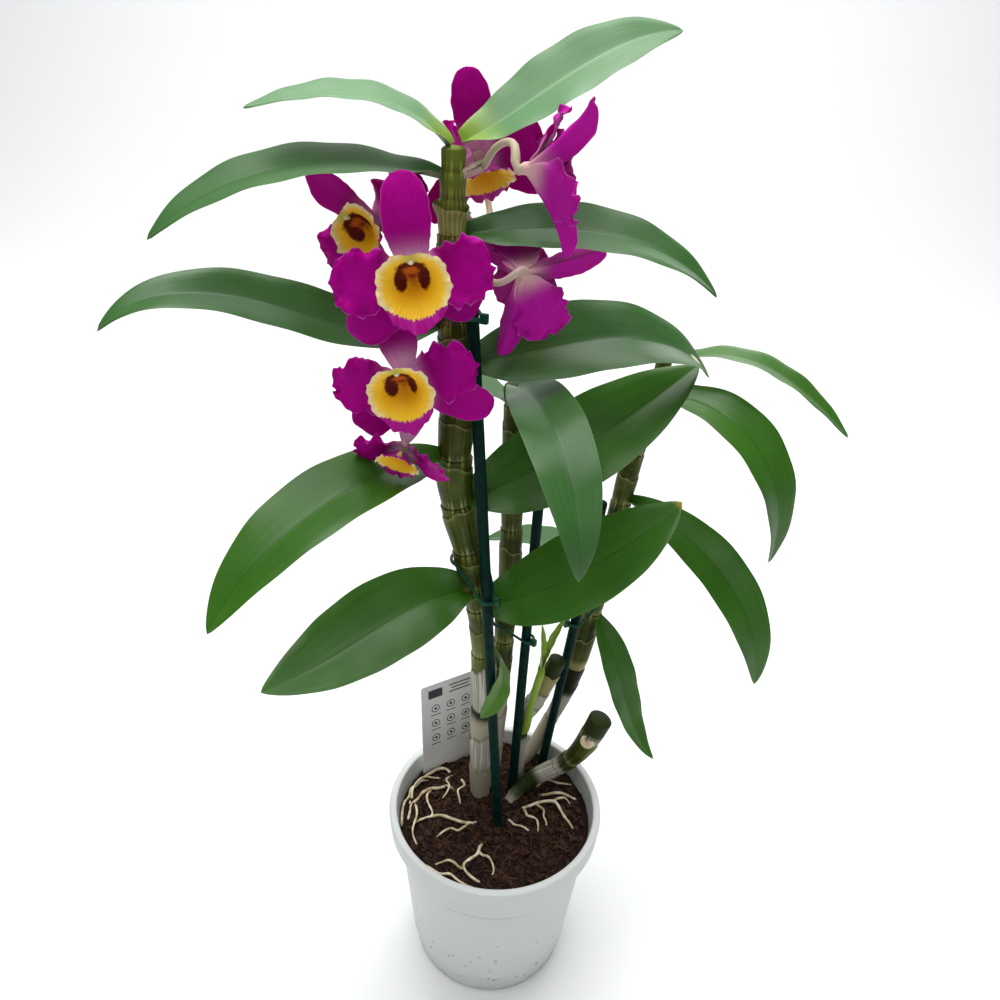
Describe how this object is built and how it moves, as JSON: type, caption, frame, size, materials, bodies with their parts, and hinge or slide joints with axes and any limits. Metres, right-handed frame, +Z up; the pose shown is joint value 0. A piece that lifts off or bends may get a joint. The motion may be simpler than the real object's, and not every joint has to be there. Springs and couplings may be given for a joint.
{
  "type": "potted dendrobium orchid",
  "caption": "Flowering dendrobium orchid with leafy canes, magenta blooms with golden lips, support stakes and clips, in a round white nursery pot of bark.",
  "frame": {"origin": "centre of the pot's flat bottom", "axes": "+Z up, -Y towards the front that most blooms face, +X to the right seen from there"},
  "size_m": [0.32, 0.1374, 0.4945],
  "materials": {
    "pot_plastic": "smooth satin moulded polypropylene",
    "bark": "rough moist bark crumbs and fibres",
    "card_plastic": "smooth printed polystyrene",
    "root": "matt papery root skin",
    "cane": "smooth green skin under drying leaf sheaths",
    "dry_cane": "dry papery grey-cream sheaths with fine ridges",
    "stake_coating": "satin dark green coating",
    "clip_plastic": "glossy dark green",
    "leaf": "waxy satin leaf skin",
    "young_shoot": "smooth satin young skin",
    "flower_stalk": "smooth satin skin",
    "petal": "soft velvety sheen with fine veins",
    "lip": "velvety, golden with maroon eyes and a pale frilled edge"
  },
  "bodies": {
    "root": {"pot": "pot_plastic", "substrate": "bark", "care_card": "card_plastic", "crown_and_roots": "root", "cane_main": "cane", "cane_second": "cane", "cane_old": "dry_cane", "cane_right": "cane", "cane_stub": "dry_cane", "stake_front": "stake_coating", "stake_middle": "stake_coating", "stake_right": "stake_coating", "clip_upper": "clip_plastic", "clip_lower": "clip_plastic", "clip_middle": "clip_plastic", "clip_right": "clip_plastic", "leaf_main_0": "leaf", "leaf_main_1": "leaf", "leaf_main_2": "leaf", "leaf_main_3": "leaf", "leaf_main_4": "leaf", "leaf_main_5": "leaf", "leaf_main_6": "leaf", "leaf_main_7": "leaf", "leaf_main_8": "leaf", "leaf_main_9": "leaf", "leaf_main_10": "leaf", "leaf_second_1": "leaf", "leaf_second_2": "leaf", "leaf_right_1": "leaf", "leaf_right_2": "leaf", "leaf_right_3": "leaf", "leaf_right_4": "leaf", "leaf_right_5": "leaf", "shoot_young": "young_shoot", "stalk_1": "flower_stalk", "stalk_2": "flower_stalk", "stalk_3": "flower_stalk", "stalk_4": "flower_stalk", "stalk_5": "flower_stalk", "bloom_1_petals": "petal", "bloom_1_lip": "lip", "bloom_2_petals": "petal", "bloom_2_lip": "lip", "bloom_3_petals": "petal", "bloom_3_lip": "lip", "bloom_4_petals": "petal", "bloom_4_lip": "lip", "bloom_5_petals": "petal", "bloom_5_lip": "lip", "bloom_6_petals": "petal", "bloom_6_lip": "lip", "bloom_7_petals": "petal", "bloom_7_lip": "lip"}
  },
  "joints": []
}
